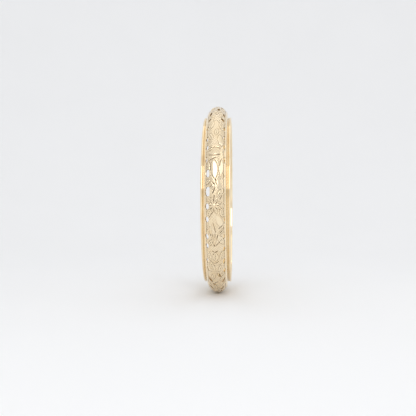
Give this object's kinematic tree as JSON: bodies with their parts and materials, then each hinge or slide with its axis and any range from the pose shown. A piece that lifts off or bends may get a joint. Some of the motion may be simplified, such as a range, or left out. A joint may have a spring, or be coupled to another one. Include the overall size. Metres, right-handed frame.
{
  "type": "hinged bangle bracelet",
  "caption": "Round hinged bangle with a hollow, leaf-pierced half-round dome between polished wire rails, closed by a spring-tongue box clasp.",
  "frame": {"origin": "centre of the ring, midway across the band", "axes": "+X along the wrist, square to the ring; +Z from the centre up to the hinge; -Y towards the middle of the front half, so the rear half with the thumb tab is on +Y"},
  "size_m": [0.01, 0.07, 0.07],
  "materials": {
    "gold_textured": "polished yellow gold, pierced and engraved",
    "gold_polished": "mirror-polished yellow gold",
    "gold_satin": "satin yellow gold, as left inside a clasp or hinge",
    "spring_gold": "work-hardened gold spring strip"
  },
  "bodies": {
    "front_half": {"front_dome": "gold_textured", "front_left_rail": "gold_polished", "front_left_wire": "gold_polished", "front_right_rail": "gold_polished", "front_right_wire": "gold_polished", "front_hinge_plate": "gold_satin", "front_clasp_plate": "gold_satin", "front_knuckle": "gold_satin", "catch_box": "gold_satin"},
    "rear_half": {"rear_dome": "gold_textured", "rear_left_rail": "gold_polished", "rear_left_wire": "gold_polished", "rear_right_rail": "gold_polished", "rear_right_wire": "gold_polished", "rear_hinge_plate": "gold_satin", "rear_clasp_plate": "gold_satin", "rear_left_knuckle": "gold_satin", "rear_right_knuckle": "gold_satin", "hinge_pin": "gold_satin", "tongue_base": "gold_satin"},
    "clasp_spring": {"tongue_leaf": "spring_gold", "thumb_tab": "gold_polished"}
  },
  "joints": [
    {"name": "bangle_hinge", "type": "hinge", "parent": "front_half", "child": "rear_half", "pos_m": [0, 0, 0.0326], "axis": [1, 0, 0], "range_deg": [0, 44], "deforming": ["tongue_leaf"]},
    {"name": "clasp_press", "type": "hinge", "parent": "rear_half", "child": "clasp_spring", "pos_m": [0, -0.0054, -0.0317], "axis": [1, 0, 0], "range_deg": [0, 7], "stiffness_Nm_per_rad": 0.02}
  ]
}
